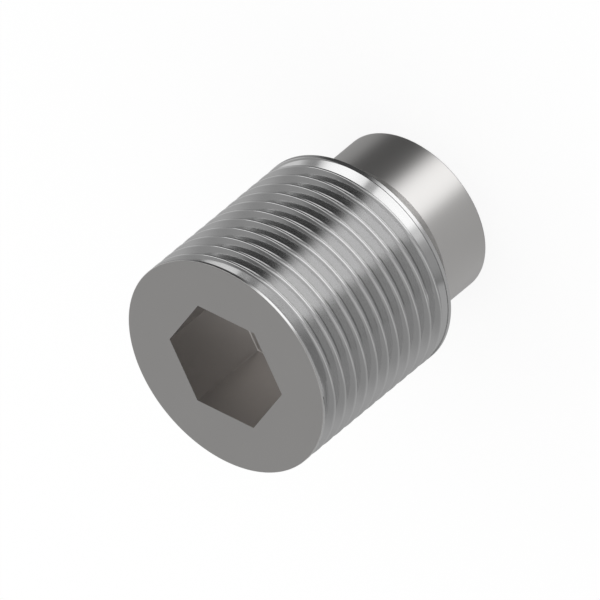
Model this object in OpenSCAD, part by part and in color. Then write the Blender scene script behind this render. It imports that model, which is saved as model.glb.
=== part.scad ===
// Hexagon socket set screw with a dog point, made as one solid piece.
// It stands on the flat end of its dog point, with the socket facing up.
// All sizes are in millimetres.
// The origin is the centre of the dog point's flat end, and +Z runs up the axis.

/* [Body] */
// Overall length, from the dog point's flat end to the socket face
length = 25; // [20:0.5:60]
// Outside diameter, over the crests of the thread
thread_d = 20; // [12:0.5:30]
// Distance from one turn of the thread to the next
pitch = 1.42; // [1:0.02:3]
// Width of the plain rim above the thread, at the socket face
face_rim = 0.26; // [0.1:0.02:1]
// Slope at which the thread runs out to the rim at the socket face, measured from the axis
face_runout = 45; // [20:5:60]
// Width of the edge break round the socket face
face_edge = 0.06; // [0.02:0.01:0.1]
// Width of the plain rim below the thread, at the shoulder
shoulder_rim = 0.33; // [0.1:0.01:1]
// Slope at which the thread runs out to the rim at the shoulder, measured from the axis
shoulder_runout = 25; // [20:5:60]

/* [Dog point] */
// Diameter of the dog point
dog_d = 15; // [6:0.5:24]
// Length of the dog point's straight wall
dog_length = 5.4; // [2:0.1:12]
// Slope of the cone between the dog point and the thread, measured from the axis
cone_angle = 45; // [30:1:60]
// Width of the edge break round the dog point's flat end
dog_edge = 0.1; // [0.02:0.01:0.5]

/* [Socket] */
// Width of the hexagon across its flats
socket_af = 10; // [4:0.5:16]
// Depth of the hexagon below the socket face
socket_depth = 8.1; // [3:0.1:14]
// Width of the small bevel where the socket's walls meet its floor
floor_bevel = 0.1; // [0.05:0.05:0.5]

/* [Hidden] */

steel = [0.62, 0.61, 0.6];
thread_r = thread_d / 2;
dog_r = dog_d / 2;

// The cone's height follows from the two diameters and its slope
cone_h = (thread_r - dog_r) / tan(cone_angle);
shoulder_z = dog_length + cone_h;

// The thread has a 60 degree form with a flat crest an eighth of the pitch wide
flank_angle = 60;
crest_w = pitch / 8;
thread_depth = 0.6134 * pitch;
flank_w = thread_depth / tan(flank_angle);
root_r = thread_r - thread_depth;

// Crests that fit between the two rims, with what is left over shared by the two run-outs
thread_top = length - face_rim;
thread_bottom = shoulder_z + shoulder_rim;
crests = floor((thread_top - thread_bottom - crest_w) / pitch);
runout_w = (thread_top - thread_bottom - (crests - 1) * pitch - crest_w) / 2;
first_crest_z = thread_bottom + runout_w;

// Corner radius of a hexagon from its width across flats
function corner_r(af) = af / 2 / cos(30);

// Outline of the groove between two crests, from the lower crest's edges up
function groove(crest_z) = [
    [thread_r, crest_z],
    [thread_r, crest_z + crest_w],
    [root_r, crest_z + crest_w + flank_w],
    [root_r, crest_z + pitch - flank_w]
];

// Depth of a run-out groove that is left by one flank and a slope
function runout_depth(slope) = runout_w / (1 / tan(slope) + 1 / tan(flank_angle));

// Points of the thread, from the rim at the shoulder up to the rim at the socket face
last_crest_z = first_crest_z + (crests - 1) * pitch;
low_depth = runout_depth(shoulder_runout);
high_depth = runout_depth(face_runout);
thread_points = concat(
    [[thread_r, thread_bottom]],
    [[thread_r - low_depth, thread_bottom + low_depth / tan(shoulder_runout)]],
    [for (i = [0 : crests - 2]) for (p = groove(first_crest_z + i * pitch)) p],
    [[thread_r, last_crest_z], [thread_r, last_crest_z + crest_w]],
    [[thread_r - high_depth, thread_top - high_depth / tan(face_runout)]],
    [[thread_r, thread_top]]
);

// Half section of the outside, from the axis at the dog's end round to the socket face
outline = concat(
    [[0, 0], [dog_r - dog_edge, 0], [dog_r, dog_edge], [dog_r, dog_length], [thread_r, shoulder_z]],
    thread_points,
    [[thread_r, length - face_edge], [thread_r - face_edge, length], [0, length]]
);

// Outside of the screw, turned round its axis
module turned_body() {
    rotate_extrude($fn = 96)
        polygon(outline);
}

// Room for the hexagon key, open at the socket face and bevelled at its floor
module hex_socket() {
    floor_z = length - socket_depth;
    translate([0, 0, floor_z + floor_bevel])
        cylinder(h = socket_depth, r = corner_r(socket_af), $fn = 6);
    translate([0, 0, floor_z])
        cylinder(
            h = floor_bevel,
            r1 = corner_r(socket_af - 2 * floor_bevel),
            r2 = corner_r(socket_af),
            $fn = 6
        );
}

// The whole screw
module set_screw() {
    color(steel)
        difference() {
            turned_body();
            hex_socket();
        }
}

set_screw();
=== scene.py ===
import bmesh
import bpy
import numpy as np
from mathutils import Matrix


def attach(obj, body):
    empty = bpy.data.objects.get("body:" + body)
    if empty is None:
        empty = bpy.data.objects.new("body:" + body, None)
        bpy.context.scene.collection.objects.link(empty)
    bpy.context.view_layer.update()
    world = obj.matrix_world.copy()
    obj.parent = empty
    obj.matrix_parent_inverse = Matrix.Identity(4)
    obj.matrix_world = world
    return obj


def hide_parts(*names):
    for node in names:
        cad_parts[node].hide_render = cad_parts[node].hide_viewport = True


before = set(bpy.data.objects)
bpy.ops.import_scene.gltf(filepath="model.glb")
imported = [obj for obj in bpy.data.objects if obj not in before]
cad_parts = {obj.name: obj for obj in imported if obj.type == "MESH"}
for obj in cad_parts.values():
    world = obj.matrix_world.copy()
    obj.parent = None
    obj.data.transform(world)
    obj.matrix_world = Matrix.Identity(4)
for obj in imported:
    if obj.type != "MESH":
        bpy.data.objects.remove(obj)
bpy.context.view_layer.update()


# Set screw: one piece of stainless steel bar, turned to its outline, with a fine right-hand
# thread cut on it and a hexagon socket broached into its upper end. It stands on the flat end
# of its dog point. Its sizes are in millimetres and its slopes in degrees.

MM = 0.001
LENGTH = 25.0
CREST_R = 10.0
PITCH = 1.42
CREST_EDGE_R = 0.13
RIM_TOP = 0.26
RIM_SHOULDER = 0.33
# The run-outs' slopes are measured from the axis; the lower one starts with a small step
RUNOUT_TOP = 45.0
RUNOUT_SHOULDER = 25.0
RUNOUT_STEP = 0.1
DOG_R = 7.5
DOG_WALL = 5.4
SHOULDER_Z = DOG_WALL + (CREST_R - DOG_R)
EDGE_FACE = 0.06
EDGE_DOG = 0.1
SOCKET_AF = 10.0
SOCKET_DEPTH = 8.1
SOCKET_CORNER = 0.05
FLOOR_BEVEL = 0.07
# Height of the topmost crest, and the direction round the axis in which it is at that height
FIRST_CREST_Z = 23.55
FIRST_CREST_AT = -66.31


def column_angles(even=240, corner_offsets=(0.2, 0.5)):
    """Angles of the mesh's columns, in radians from 0 to a full turn.

    They are spread evenly, with a few more at corner_offsets degrees on either side of each
    of the hexagon's six corners, where the small corner radius needs them.
    """
    corners = np.arange(0, 361, 60)
    near = np.concatenate([corners + s * d for d in corner_offsets for s in (-1, 1)])
    near = near[(near > 0) & (near < 360)]
    return np.radians(np.unique(np.concatenate([np.arange(even + 1) * 360 / even, near])))


def threaded_side(theta, low, high):
    """Points of the thread from the shoulder's rim up to the rim under the face, for each column.

    Each groove climbs one pitch in a turn, to the right. Its flanks stand 30 degrees off the
    plane across the axis, and its root is an arc of 0.1443 of the pitch at a depth of 0.6134 of
    it. The crest between two grooves is an eighth of the pitch wide with rounded edges. At each
    end the groove is no deeper than a cone that falls inwards from the rim, so it runs out there
    as a die leaves it.
    """
    slope = np.tan(np.radians(60))
    half_crest = PITCH / 16
    width = PITCH * 7 / 8
    root_r = 0.1443 * PITCH
    root_d = 0.6134 * PITCH
    flank_z = (root_d - root_r / 2) / slope
    edge = CREST_EDGE_R * np.tan(np.radians(30))
    fall_low = np.tan(np.radians(RUNOUT_SHOULDER))
    fall_high = np.tan(np.radians(RUNOUT_TOP))

    # a and b are the heights of each groove's lower and upper edge, columns by grooves
    turns = np.arange(np.floor((low - FIRST_CREST_Z) / PITCH) - 2, 3)
    crest = FIRST_CREST_Z + PITCH * (theta - np.radians(FIRST_CREST_AT)) / (2 * np.pi)
    a = crest[:, None] + half_crest + PITCH * turns
    a = a[:, ((a + width).max(0) > low) & (a.min(0) < high)]
    b = a + width

    def depth(z):
        """Depth below the crests at each height: the groove's, or a cone's where that is less."""
        off = np.abs(z - (a + b)[..., None] / 2)
        into = width / 2 - off
        root = root_d - root_r + np.sqrt(np.maximum(root_r**2 - off**2, 0))
        past_edge = np.maximum(into + edge, 0)
        rounded = CREST_EDGE_R - np.sqrt(np.maximum(CREST_EDGE_R**2 - past_edge**2, 0))
        below_edge = np.where(off < root_r * np.sin(np.pi / 3), root, slope * into)
        groove = np.where(into < edge / 2, rounded, below_edge)
        cones = np.minimum(RUNOUT_STEP + fall_low * (z - low), fall_high * (high - z))
        return np.maximum(np.minimum(groove, cones), 0)

    # The lower flank ends at a cone or at the root, and the upper flank starts at one of them
    leaves_low = (slope * a + RUNOUT_STEP - fall_low * low) / (slope - fall_low)
    leaves_high = (slope * a + fall_high * high) / (slope + fall_high)
    first = np.minimum(np.minimum(leaves_low, leaves_high), a + flank_z)
    meets_low = (slope * b - RUNOUT_STEP + fall_low * low) / (slope + fall_low)
    meets_high = (slope * b - fall_high * high) / (slope - fall_high)
    last = np.maximum(np.maximum(meets_low, meets_high), b - flank_z)
    across = 0.5 + np.sin(np.radians([-60, -20, 20, 60])) / (2 * np.sin(np.pi / 3))
    bottom = first[..., None] + (last - first)[..., None] * across
    # Two more rows, close to the ends of each flank, keep it flat between its edge and the root
    ends = np.array([0.04, 0.96])
    first_flank = (a + edge / 2)[..., None] + (first - a - edge / 2)[..., None] * ends
    last_flank = last[..., None] + (b - edge / 2 - last)[..., None] * ends
    turn_in = CREST_EDGE_R * np.sin(np.radians([0, 15, 30, 45, 60])) - edge
    first_edge = a[..., None] + turn_in
    last_edge = b[..., None] - turn_in[::-1]
    z = np.concatenate([first_edge, first_flank, bottom, last_flank, last_edge], -1)
    z = np.maximum.accumulate(np.clip(z, low, high).reshape(len(theta), -1), 1)
    r = CREST_R - depth(z.reshape(*a.shape, -1))
    return r.reshape(len(theta), -1), z


def rounded_edge(start, end, corner, steps=4):
    """Quarter arc from start to end, each (radius, height), with tangents that meet in corner.

    One more point before it and one behind it, on the tangents, keep the surfaces beside the
    arc flat.
    """
    start, end, corner = (np.array(p) for p in (start, end, corner))
    t = np.linspace(0, np.pi / 2, steps + 1)[:, None]
    centre = start + end - corner
    arc = centre + (start - centre) * np.cos(t) + (end - centre) * np.sin(t)
    return [tuple(p) for p in (start + (start - corner) / 3, *arc, end + (end - corner) / 3)]


def hexagon_radius(theta, across_flats, corner_r):
    """Distance from the axis to a hexagon with rounded corners, one of them on +X.

    Along a flat it is half the width across flats over the cosine of the angle off that flat's
    middle. Near a corner it is the far crossing with the corner's circle, whose centre lies on
    the corner's line.
    """
    half = across_flats / 2
    off_corner = np.pi / 6 - np.abs(theta % (np.pi / 3) - np.pi / 6)
    flat = half / np.cos(np.pi / 6 - off_corner)
    centre = (half - corner_r) / np.cos(np.pi / 6)
    beside = centre * np.sin(off_corner)
    reach = centre * np.cos(off_corner) + np.sqrt(np.maximum(corner_r**2 - beside**2, 0))
    meets_flat = np.arctan2(corner_r / 2, centre + corner_r * np.cos(np.pi / 6))
    return np.where(off_corner < meets_flat, reach, flat)


def screw_grid():
    """Radius and height of every point, columns by rows, and the rows where a finish changes.

    A row runs round the axis. The rows go from the middle of the dog's end, out and up the
    outside, over the face, down the socket's walls and to the middle of its floor. The two
    plain rims beside the thread share its finish.
    """
    theta = column_angles()
    rows = [(0.0, 0.0)]
    rows += rounded_edge((DOG_R - EDGE_DOG, 0.0), (DOG_R, EDGE_DOG), (DOG_R, 0.0))
    rows += [(DOG_R, DOG_WALL), (CREST_R, SHOULDER_Z), (CREST_R, SHOULDER_Z + RIM_SHOULDER)]
    thread_from = len(rows) - 2
    r, z = threaded_side(theta, SHOULDER_Z + RIM_SHOULDER, LENGTH - RIM_TOP)
    rows += zip(r.T, z.T)
    thread_to = len(rows) + 1
    face_rim = (CREST_R, LENGTH - EDGE_FACE)
    rows += rounded_edge(face_rim, (CREST_R - EDGE_FACE, LENGTH), (CREST_R, LENGTH))
    mouth = hexagon_radius(theta, SOCKET_AF, SOCKET_CORNER)
    floor_ring = hexagon_radius(theta, SOCKET_AF - 2 * FLOOR_BEVEL, SOCKET_CORNER)
    floor_z = LENGTH - SOCKET_DEPTH
    socket_from = len(rows)
    rows += [(mouth, LENGTH), (mouth, floor_z + FLOOR_BEVEL), (floor_ring, floor_z), (0.0, floor_z)]
    grid = np.array([[np.broadcast_to(v, theta.shape) for v in row] for row in rows])
    return theta, grid[:, 0].T, grid[:, 1].T, (thread_from, thread_to, socket_from)


def mesh_from_grid(name, theta, r, z, finish_rows, same_point=2e-7, sharp=32):
    """Closed mesh from rings of points: each quad joins two neighbouring columns and rows.

    The last column closes on the first one, a groove's end on the next groove's start, and
    points less than same_point apart, in metres, are joined. Quads take the finish of their
    row. Edges that bend by more than sharp degrees stay sharp.
    """
    turned, threaded, broached = range(3)
    columns, rows = r.shape
    points = np.stack([r * np.cos(theta)[:, None], r * np.sin(theta)[:, None], z], -1)
    points = points.reshape(-1, 3) * MM
    c, k = np.meshgrid(np.arange(columns - 1), np.arange(rows - 1), indexing="ij")
    a = c * rows + k
    quads = np.stack([a, a + rows, a + rows + 1, a + 1], -1).reshape(-1, 4)
    thread_from, thread_to, socket_from = finish_rows
    finish = np.where(k >= socket_from, broached, turned)
    finish = np.where((k >= thread_from) & (k < thread_to), threaded, finish)
    mesh = bpy.data.meshes.new(name)
    mesh.from_pydata(points, [], quads.tolist())
    mesh.polygons.foreach_set("material_index", finish.reshape(-1).astype(np.int32))
    work = bmesh.new()
    work.from_mesh(mesh)
    bmesh.ops.remove_doubles(work, verts=work.verts, dist=same_point)
    bmesh.ops.dissolve_degenerate(work, edges=work.edges, dist=same_point / 2)
    bmesh.ops.recalc_face_normals(work, faces=work.faces)
    work.to_mesh(mesh)
    work.free()
    mesh.shade_smooth()
    mesh.set_sharp_from_angle(angle=np.radians(sharp))
    return mesh


screw_mesh = mesh_from_grid("set_screw_visual", *screw_grid())
screw = bpy.data.objects.new("set_screw_visual", screw_mesh)
bpy.context.scene.collection.objects.link(screw)
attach(screw, "root")
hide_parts("set_screw")


def tool_marks():
    """Node group for the fine lines that a cutting tool leaves side by side.

    Each line follows one value of Across. Height is smooth noise along Across, with lines
    about as far apart as Spacing. Tint is broad, soft noise over the surface, from 0 to 1.
    """
    group = bpy.data.node_groups.new("tool_marks", "ShaderNodeTree")
    for name in ("Across", "Spacing"):
        group.interface.new_socket(name, in_out="INPUT", socket_type="NodeSocketFloat")
    group.interface.new_socket("Place", in_out="INPUT", socket_type="NodeSocketVector")
    for name in ("Height", "Tint"):
        group.interface.new_socket(name, in_out="OUTPUT", socket_type="NodeSocketFloat")
    nodes, links = group.nodes, group.links
    given, result = nodes.new("NodeGroupInput"), nodes.new("NodeGroupOutput")
    lines = nodes.new("ShaderNodeMath")
    lines.operation = "DIVIDE"
    links.new(given.outputs["Across"], lines.inputs[0])
    links.new(given.outputs["Spacing"], lines.inputs[1])
    marks = nodes.new("ShaderNodeTexNoise")
    marks.noise_dimensions = "1D"
    marks.inputs["Scale"].default_value = 1.0
    marks.inputs["Detail"].default_value = 2.0
    links.new(lines.outputs[0], marks.inputs["W"])
    clouds = nodes.new("ShaderNodeTexNoise")
    clouds.inputs["Scale"].default_value = 160.0
    clouds.inputs["Detail"].default_value = 3.0
    links.new(given.outputs["Place"], clouds.inputs["Vector"])
    links.new(marks.outputs["Fac"], result.inputs["Height"])
    links.new(clouds.outputs["Fac"], result.inputs["Tint"])
    return group


MARKS = tool_marks()


def steel(name, dull, bright, roughness, spacing, depth, across):
    """Steel with tool marks.

    Its colour wanders between dull and bright, and its roughness between the two values given.
    The marks are about spacing apart and depth deep, in millimetres. They follow the sum of
    radius, height and X, each times its weight in across.
    """
    material = bpy.data.materials.new(name)
    material.use_nodes = True
    nodes, links = material.node_tree.nodes, material.node_tree.links
    bsdf = nodes["Principled BSDF"]
    bsdf.inputs["Metallic"].default_value = 1.0
    place = nodes.new("ShaderNodeTexCoord")
    flat = nodes.new("ShaderNodeVectorMath")
    flat.operation = "MULTIPLY"
    flat.inputs[1].default_value = (1, 1, 0)
    links.new(place.outputs["Object"], flat.inputs[0])
    radius = nodes.new("ShaderNodeVectorMath")
    radius.operation = "LENGTH"
    links.new(flat.outputs[0], radius.inputs[0])
    split = nodes.new("ShaderNodeSeparateXYZ")
    links.new(place.outputs["Object"], split.inputs[0])
    parts = nodes.new("ShaderNodeCombineXYZ")
    links.new(radius.outputs["Value"], parts.inputs["X"])
    links.new(split.outputs["Z"], parts.inputs["Y"])
    links.new(split.outputs["X"], parts.inputs["Z"])
    along = nodes.new("ShaderNodeVectorMath")
    along.operation = "DOT_PRODUCT"
    along.inputs[1].default_value = across
    links.new(parts.outputs[0], along.inputs[0])
    marks = nodes.new("ShaderNodeGroup")
    marks.node_tree = MARKS
    marks.inputs["Spacing"].default_value = spacing * MM
    links.new(along.outputs["Value"], marks.inputs["Across"])
    links.new(place.outputs["Object"], marks.inputs["Place"])
    tint = nodes.new("ShaderNodeMix")
    tint.data_type = "RGBA"
    tint.inputs["A"].default_value = (*dull, 1)
    tint.inputs["B"].default_value = (*bright, 1)
    links.new(marks.outputs["Tint"], tint.inputs["Factor"])
    links.new(tint.outputs["Result"], bsdf.inputs["Base Color"])
    rough = nodes.new("ShaderNodeMapRange")
    rough.inputs["To Min"].default_value = roughness[0]
    rough.inputs["To Max"].default_value = roughness[1]
    links.new(marks.outputs["Height"], rough.inputs["Value"])
    links.new(rough.outputs["Result"], bsdf.inputs["Roughness"])
    bump = nodes.new("ShaderNodeBump")
    bump.inputs["Distance"].default_value = depth * MM
    links.new(marks.outputs["Height"], bump.inputs["Height"])
    links.new(bump.outputs["Normal"], bsdf.inputs["Normal"])
    return material


# The finishes of the one piece, in the order that mesh_from_grid counts them in: turned on the
# outside, the face and the dog's end, cut bright in the thread and on its two rims, and
# broached in the socket.
FINISHES = {
    "turned_steel": {
        "dull": (0.585, 0.575, 0.565), "bright": (0.615, 0.605, 0.595),
        "roughness": (0.27, 0.33), "spacing": 0.09, "depth": 0.0003, "across": (1, 2, 0),
    },
    "thread_steel": {
        "dull": (0.59, 0.59, 0.59), "bright": (0.62, 0.62, 0.62),
        "roughness": (0.11, 0.15), "spacing": 0.05, "depth": 0.0001, "across": (1, 1, 0),
    },
    "broached_steel": {
        "dull": (0.63, 0.61, 0.595), "bright": (0.66, 0.64, 0.625),
        "roughness": (0.27, 0.33), "spacing": 0.15, "depth": 0.0003, "across": (0, 0, 1),
    },
}
for name, finish in FINISHES.items():
    screw.data.materials.append(steel(name, **finish))


# Camera: it looks down on the socket's end with a flat projection, as the photograph does. It
# is rolled, so that the dog point lies to the right of the face and up on the picture.

TILT = 52.28
CAMERA_ROUND = -66.31
ROLL = 39.56
PX_PER_MM = 12.28
PICTURE_PX = 600
FACE_CENTRE_PX = (225.7, 366.87)
CAMERA_AWAY = 300.0

elevation = np.radians(90 - TILT)
azimuth = np.radians(CAMERA_ROUND)
level_part = np.cos(elevation)
to_camera = np.array(
    [np.cos(azimuth) * level_part, np.sin(azimuth) * level_part, np.sin(elevation)]
)
axis_on_picture = np.array([0, 0, -1.0]) + to_camera * to_camera[2]
axis_on_picture /= np.linalg.norm(axis_on_picture)
across = np.cross(to_camera, axis_on_picture)
roll = np.radians(ROLL)
right = np.cos(roll) * axis_on_picture - np.sin(roll) * across
up = np.sin(roll) * axis_on_picture + np.cos(roll) * across
off = (PICTURE_PX / 2 - np.array(FACE_CENTRE_PX)) / PX_PER_MM
look_at = (np.array([0, 0, LENGTH]) + off[0] * right - off[1] * up) * MM
camera_data = bpy.data.cameras.new("camera")
camera_data.type = "ORTHO"
camera_data.ortho_scale = PICTURE_PX / PX_PER_MM * MM
camera_data.clip_start = 0.001
camera_data.clip_end = 10
camera = bpy.data.objects.new("camera", camera_data)
matrix = np.eye(4)
matrix[:3, 0], matrix[:3, 1], matrix[:3, 2] = right, up, to_camera
matrix[:3, 3] = look_at + to_camera * (CAMERA_AWAY * MM)
camera.matrix_world = Matrix(matrix.tolist())
bpy.context.scene.collection.objects.link(camera)
bpy.context.scene.camera = camera


# Floor: a plain sheet of white paper just under the screw's end. It shows white to the camera,
# with the screw's soft shadow on it, and the steel looks through it into its own studio.

FLOOR_HALF = 1000.0
FLOOR_Z = -0.02
# Share of the paper's own shading in what the camera sees of it; the rest is an even white
SHADOW_SHARE = 0.15

floor_mesh = bpy.data.meshes.new("floor")
corners = [(-1, -1), (1, -1), (1, 1), (-1, 1)]
points = np.array([(x * FLOOR_HALF, y * FLOOR_HALF, FLOOR_Z) for x, y in corners]) * MM
floor_mesh.from_pydata(points, [], [(0, 1, 2, 3)])
floor = bpy.data.objects.new("floor", floor_mesh)
bpy.context.scene.collection.objects.link(floor)
paper = bpy.data.materials.new("white_paper")
paper.use_nodes = True
nodes, links = paper.node_tree.nodes, paper.node_tree.links
nodes.clear()
out = nodes.new("ShaderNodeOutputMaterial")
path = nodes.new("ShaderNodeLightPath")
diffuse = nodes.new("ShaderNodeBsdfDiffuse")
diffuse.inputs["Color"].default_value = (1, 1, 1, 1)
glow = nodes.new("ShaderNodeEmission")
glow.inputs["Color"].default_value = (1, 1, 1, 1)
glow.inputs["Strength"].default_value = 1.0
clear = nodes.new("ShaderNodeBsdfTransparent")
seen = nodes.new("ShaderNodeMixShader")
seen.inputs["Fac"].default_value = SHADOW_SHARE
links.new(glow.outputs[0], seen.inputs[1])
links.new(diffuse.outputs[0], seen.inputs[2])
mirrored = nodes.new("ShaderNodeMixShader")
links.new(path.outputs["Is Glossy Ray"], mirrored.inputs["Fac"])
links.new(seen.outputs[0], mirrored.inputs[1])
links.new(clear.outputs[0], mirrored.inputs[2])
links.new(mirrored.outputs[0], out.inputs["Surface"])
floor.data.materials.append(paper)


# Studio: a white room to the camera and the floor. The steel mirrors a grey room instead, with
# soft boxes and dark screens hung round the screw. They are given by azimuth and height in
# degrees; azimuth runs from the camera's side towards the lower right of the picture.

ROOM_BRIGHTNESS = 0.5

world = bpy.data.worlds.new("studio")
bpy.context.scene.world = world
world.use_nodes = True
nodes, links = world.node_tree.nodes, world.node_tree.links
nodes.clear()

PATCH_VALUES = ("Azimuth", "Half Width", "Height", "Half Height", "Edge", "Brightness")


def patch_group():
    """Node group for one soft box or dark screen.

    A patch covers the directions within Half Width of Azimuth and within Half Height of
    Height, all in degrees, and fades out over Edge on each side. Where it covers, its own
    Brightness takes the place of Behind.
    """
    group = bpy.data.node_groups.new("patch", "ShaderNodeTree")
    for name in ("Direction", "Lift", "Behind", *PATCH_VALUES):
        group.interface.new_socket(name, in_out="INPUT", socket_type="NodeSocketFloat")
    group.interface.new_socket("Brightness", in_out="OUTPUT", socket_type="NodeSocketFloat")
    nodes, links = group.nodes, group.links
    given, result = nodes.new("NodeGroupInput"), nodes.new("NodeGroupOutput")

    def math(operation, a, b, c=None):
        """Output of a Math node on sockets or plain numbers."""
        node = nodes.new("ShaderNodeMath")
        node.operation = operation
        for socket, value in zip(node.inputs, (a, b, c)):
            if isinstance(value, (int, float)):
                socket.default_value = value
            elif value is not None:
                links.new(value, socket)
        return node.outputs[0]

    def cover(value, middle, half_size):
        """1 where value is within half_size of middle, fading to 0 over the edge."""
        away = math("ABSOLUTE", math("WRAP", math("SUBTRACT", value, middle), 180.0, -180.0), 0.0)
        node = nodes.new("ShaderNodeMapRange")
        node.interpolation_type = "SMOOTHSTEP"
        node.inputs["To Min"].default_value = 1.0
        node.inputs["To Max"].default_value = 0.0
        links.new(away, node.inputs["Value"])
        links.new(math("SUBTRACT", half_size, given.outputs["Edge"]), node.inputs["From Min"])
        links.new(math("ADD", half_size, given.outputs["Edge"]), node.inputs["From Max"])
        return node.outputs["Result"]

    wide = cover(given.outputs["Direction"], given.outputs["Azimuth"], given.outputs["Half Width"])
    high = cover(given.outputs["Lift"], given.outputs["Height"], given.outputs["Half Height"])
    mix = nodes.new("ShaderNodeMix")
    links.new(math("MULTIPLY", wide, high), mix.inputs["Factor"])
    links.new(given.outputs["Behind"], mix.inputs["A"])
    links.new(given.outputs["Brightness"], mix.inputs["B"])
    links.new(mix.outputs["Result"], result.inputs["Brightness"])
    return group


place = nodes.new("ShaderNodeTexCoord")
turn = nodes.new("ShaderNodeVectorRotate")
turn.rotation_type = "Z_AXIS"
turn.inputs["Angle"].default_value = -azimuth
links.new(place.outputs["Generated"], turn.inputs["Vector"])
split = nodes.new("ShaderNodeSeparateXYZ")
links.new(turn.outputs[0], split.inputs[0])


def degrees(operation, inputs, sign=1.0):
    """Output of an operation that gives an angle, in degrees and times sign."""
    node = nodes.new("ShaderNodeMath")
    node.operation = operation
    for socket, value in zip(node.inputs, inputs):
        links.new(value, socket)
    turned = nodes.new("ShaderNodeMath")
    turned.operation = "MULTIPLY"
    turned.inputs[1].default_value = sign * 180 / np.pi
    links.new(node.outputs[0], turned.inputs[0])
    return turned.outputs[0]


direction = degrees("ARCTAN2", (split.outputs["Y"], split.outputs["X"]), -1.0)
lift = degrees("ARCSINE", (split.outputs["Z"],))
patch = patch_group()

# Each patch's values are in the order of PATCH_VALUES, and a later one hangs before an earlier
PATCHES = {
    "grey_wall_left": (-150, 50, 0, 70, 30, 0.35),
    "left_band": (-142, 31, 20, 13, 9, 0.58),
    "left_low_band": (-145, 34, -9, 13, 8, 0.9),
    "ceiling_right": (5, 72, 62, 22, 14, 0.62),
    "ceiling_left": (-130, 60, 68, 19, 10, 0.16),
    "gap_right": (118, 32, 50, 16, 8, 0.36),
    "lamp_right": (60, 28, 36, 12, 8, 0.95),
    "front_box": (-14, 29, -34, 38, 8, 1.22),
    "front_box_middle": (-11, 20, -44, 14, 8, 1.6),
    "dark_screen": (-80, 34, -42, 20, 14, 0.07),
    "dark_screen_top": (-66, 30, -16, 13, 11, 0.08),
    "strip_left": (-71, 25, 4, 5.5, 2, 1.6),
    "strip_front": (-8, 28, 15.5, 6, 1.5, 1.7),
    "low_gap_right": (70, 38, 15, 6, 4, 0.36),
    "strip_front_end": (17, 7, 15, 6, 4, 0.85),
    "strip_left_top": (-77, 19, 14, 5, 2, 1.6),
    "lamp_left": (-112, 12, 53, 12, 6, 0.38),
    "low_dark_right": (39, 27, -3, 9, 3, 0.1),
    "dark_floor": (0, 180, -90, 27, 4, 0.05),
    "dark_floor_behind": (180, 100, -72, 22, 4, 0.05),
}
behind = None
for name, values in PATCHES.items():
    node = nodes.new("ShaderNodeGroup")
    node.node_tree = patch
    node.label = name
    links.new(direction, node.inputs["Direction"])
    links.new(lift, node.inputs["Lift"])
    node.inputs["Behind"].default_value = ROOM_BRIGHTNESS
    if behind:
        links.new(behind, node.inputs["Behind"])
    for socket, value in zip(PATCH_VALUES, values):
        node.inputs[socket].default_value = value
    behind = node.outputs["Brightness"]

out = nodes.new("ShaderNodeOutputWorld")
path = nodes.new("ShaderNodeLightPath")
steel_sees = nodes.new("ShaderNodeBackground")
links.new(behind, steel_sees.inputs["Color"])
white = nodes.new("ShaderNodeBackground")
white.inputs["Color"].default_value = (1, 1, 1, 1)
pick = nodes.new("ShaderNodeMixShader")
links.new(path.outputs["Is Glossy Ray"], pick.inputs["Fac"])
links.new(white.outputs[0], pick.inputs[1])
links.new(steel_sees.outputs[0], pick.inputs[2])
links.new(pick.outputs[0], out.inputs["Surface"])

bpy.context.scene.view_settings.view_transform = "Standard"
